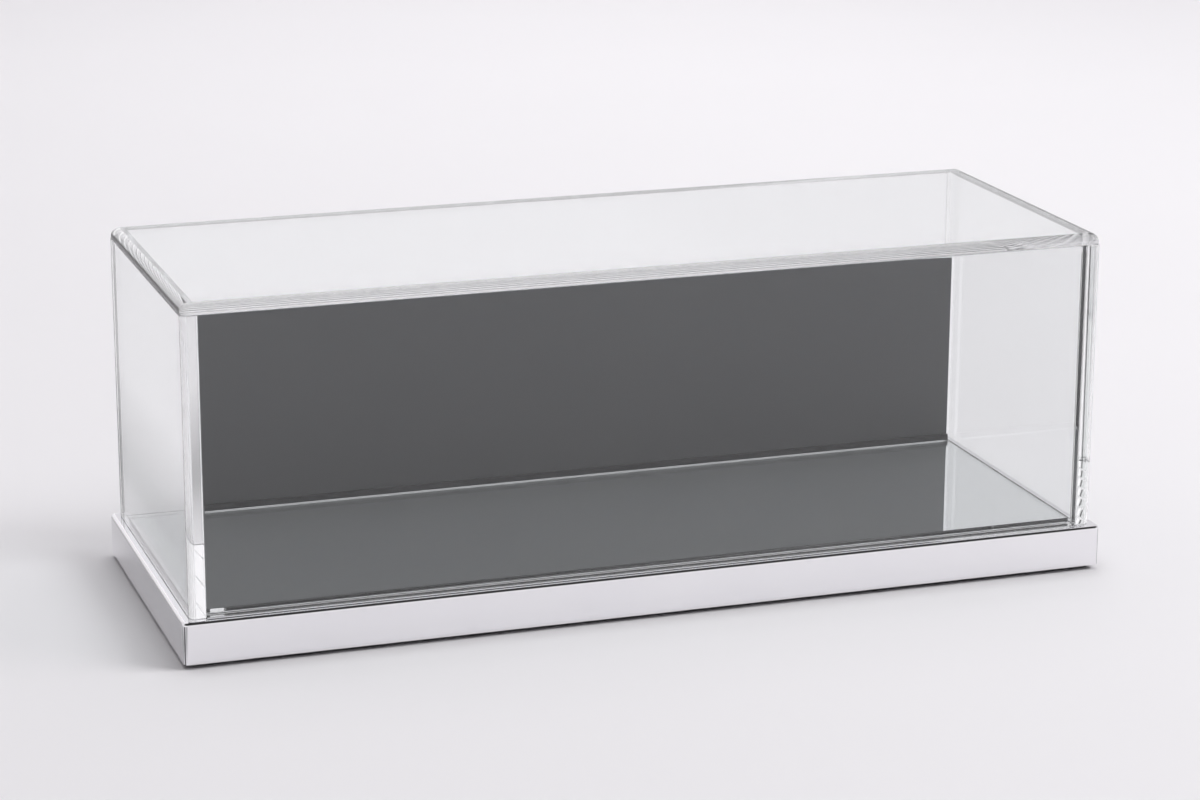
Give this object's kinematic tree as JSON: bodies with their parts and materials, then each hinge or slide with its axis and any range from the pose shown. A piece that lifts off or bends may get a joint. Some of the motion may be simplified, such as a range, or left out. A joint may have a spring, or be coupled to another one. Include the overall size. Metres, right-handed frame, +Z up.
{
  "type": "turntable display case",
  "caption": "Clear acrylic display case with a mirror deck and dark backdrop on a mirror-chrome plinth, with a lift-off cover and a hidden hand-turned ball-bearing foot.",
  "frame": {"origin": "on the table, under the middle of the case, where the turntable's axis meets the surface", "axes": "+Z up along the turntable's axis, +X along the case's length, -Y towards the front, +Y towards the dark backdrop"},
  "size_m": [0.35, 0.132, 0.1291],
  "materials": {
    "clear_acrylic": "clear, flame-polished edges",
    "satin_backdrop": "dark grey satin sheet",
    "black_aluminium": "black anodised, satin",
    "mirror_sheet": "mirror-backed, gloss",
    "grey_tape": "foam tape",
    "plinth_chrome": "mirror polished chrome plate",
    "fibreboard": "raw sawn and routed board",
    "black_board": "black, fine grained",
    "black_screw": "black oxide",
    "zinc_screw": "bright zinc",
    "plated_steel": "zinc plated, rolled",
    "ball_steel": "polished hardened steel",
    "nylon": "natural moulded nylon",
    "turned_steel": "turned bright steel",
    "spring_steel": "blued spring steel",
    "foot_plastic": "moulded black, fine texture",
    "soft_rubber": "matt"
  },
  "bodies": {
    "foot": {"foot_disc": "foot_plastic", "foot_pads": "soft_rubber", "swivel_lower_plate": "plated_steel", "lower_plate_screws": "zinc_screw", "pivot_pin": "turned_steel", "thrust_washer": "turned_steel", "retaining_ring": "spring_steel"},
    "ball_ring": {"swivel_balls": "ball_steel", "ball_cage": "nylon"},
    "case": {"plinth_shell": "plinth_chrome", "base_plate": "black_board", "base_plate_screws": "black_screw", "corner_blocks": "fibreboard", "swivel_block": "fibreboard", "swivel_upper_plate": "plated_steel", "upper_plate_screws": "zinc_screw", "deck_tape": "grey_tape", "mirror_backing": "mirror_sheet", "deck_sheet": "clear_acrylic", "backdrop_channel": "black_aluminium", "backdrop_panel": "satin_backdrop"},
    "cover": {"cover_top_pane": "clear_acrylic", "cover_front_pane": "clear_acrylic", "cover_back_pane": "clear_acrylic", "cover_left_pane": "clear_acrylic", "cover_right_pane": "clear_acrylic"}
  },
  "joints": [
    {"name": "turntable", "type": "hinge", "parent": "foot", "child": "case", "pos_m": [0, 0, 0.0064], "axis": [0, 0, 1], "continuous": true},
    {"name": "ball_turn", "type": "hinge", "parent": "foot", "child": "ball_ring", "pos_m": [0, 0, 0.0064], "axis": [0, 0, 1], "continuous": true},
    {"name": "cover_lift", "type": "slide", "parent": "case", "child": "cover", "axis": [0, 0, 1], "range_m": [0, 0.15]}
  ],
  "couplings": [
    {"joint": "ball_turn", "follows": "turntable", "ratio": 0.5}
  ]
}
